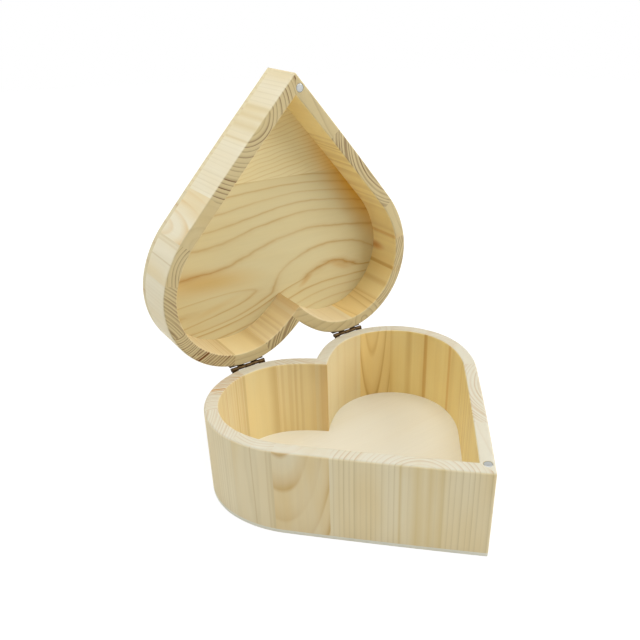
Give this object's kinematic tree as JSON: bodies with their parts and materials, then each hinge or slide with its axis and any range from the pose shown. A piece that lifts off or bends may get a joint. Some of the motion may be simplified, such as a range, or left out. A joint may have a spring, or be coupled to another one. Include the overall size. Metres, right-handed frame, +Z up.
{
  "type": "heart-shaped hinged box",
  "caption": "Heart-shaped unfinished pine keepsake box with a hinged lid that stands open and shuts onto a magnet at the point.",
  "frame": {"origin": "underside of the floor sheet, on the middle plane, halfway between the heart's point and the back of its lobes", "axes": "+Z up; -Y towards the heart's point, which is the front; +X to the right seen from the front; lid open"},
  "size_m": [0.19, 0.2127, 0.24],
  "materials": {
    "pine_block": "bare sanded pine, grain upright, end grain on the rims",
    "pine_board": "bare sanded pine, grain across the lid",
    "floor_sheet": "smooth pale sheet",
    "antique_bronze": "antique bronze plating",
    "nickel": "nickel plating"
  },
  "bodies": {
    "base": {"base_block_left_1": "pine_block", "base_block_left_2": "pine_block", "base_block_left_3": "pine_block", "base_block_left_4": "pine_block", "base_block_left_5": "pine_block", "base_block_left_6": "pine_block", "base_block_left_7": "pine_block", "base_block_left_8": "pine_block", "base_block_right_1": "pine_block", "base_block_right_2": "pine_block", "base_block_right_3": "pine_block", "base_block_right_4": "pine_block", "base_block_right_5": "pine_block", "base_block_right_6": "pine_block", "base_block_right_7": "pine_block", "base_floor": "floor_sheet", "base_magnet": "nickel", "left_hinge_base_leaf": "antique_bronze", "right_hinge_base_leaf": "antique_bronze", "left_hinge_pin": "antique_bronze", "right_hinge_pin": "antique_bronze", "base_hinge_screws": "antique_bronze"},
    "lid": {"lid_block_left_1": "pine_block", "lid_block_left_2": "pine_block", "lid_block_left_3": "pine_block", "lid_block_left_4": "pine_block", "lid_block_left_5": "pine_block", "lid_block_left_6": "pine_block", "lid_block_left_7": "pine_block", "lid_block_left_8": "pine_block", "lid_block_right_1": "pine_block", "lid_block_right_2": "pine_block", "lid_block_right_3": "pine_block", "lid_block_right_4": "pine_block", "lid_block_right_5": "pine_block", "lid_block_right_6": "pine_block", "lid_block_right_7": "pine_block", "lid_front_board": "pine_board", "lid_rear_board": "pine_board", "lid_magnet": "nickel", "left_hinge_lid_leaf": "antique_bronze", "right_hinge_lid_leaf": "antique_bronze", "lid_hinge_screws": "antique_bronze"}
  },
  "joints": [
    {"name": "lid_hinge", "type": "hinge", "parent": "base", "child": "lid", "pos_m": [0, 0.09142, 0.05695], "axis": [1, 0, 0], "range_deg": [-93, 87]}
  ]
}
